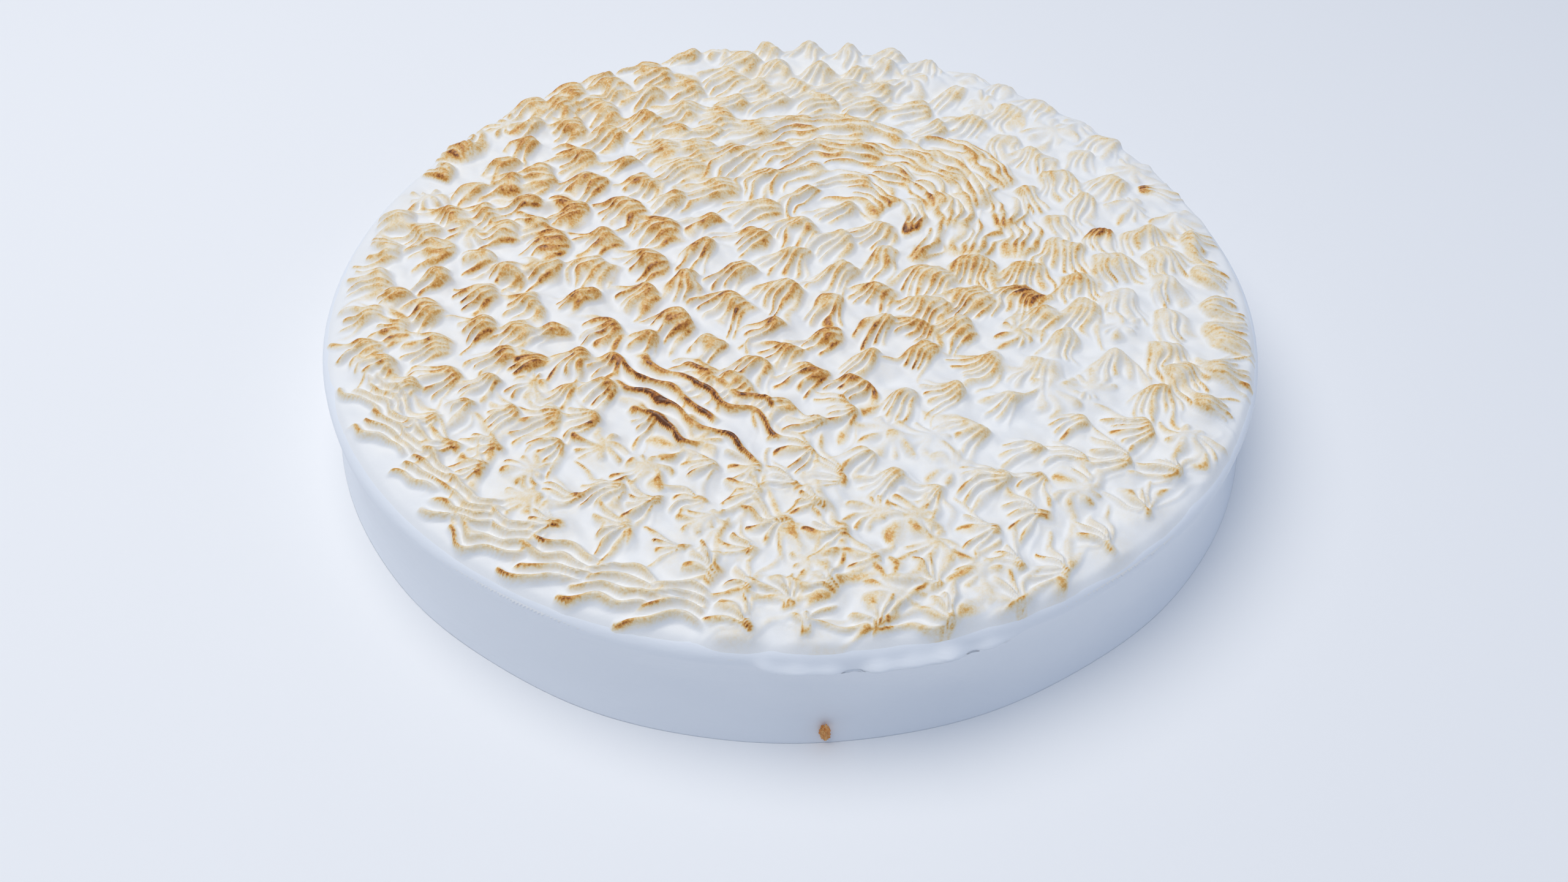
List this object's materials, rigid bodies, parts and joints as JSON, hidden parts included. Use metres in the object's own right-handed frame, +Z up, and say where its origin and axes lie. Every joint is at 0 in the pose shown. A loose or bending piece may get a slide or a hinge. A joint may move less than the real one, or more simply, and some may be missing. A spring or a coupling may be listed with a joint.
{
  "type": "lemon souffle tart",
  "caption": "Round lemon tart coated in white meringue, its whole top piped with small open-star peaks that run in a spiral and are torched golden brown along their ridges.",
  "frame": {"origin": "middle of the flat underside", "axes": "+Z up through the tart; -Y towards the camera of the picture"},
  "size_m": [0.2416, 0.2416, 0.0379],
  "materials": {
    "meringue": "soft satin, torched golden to dark brown on the piped crests"
  },
  "bodies": {
    "root": {"tart": "meringue"}
  },
  "joints": []
}
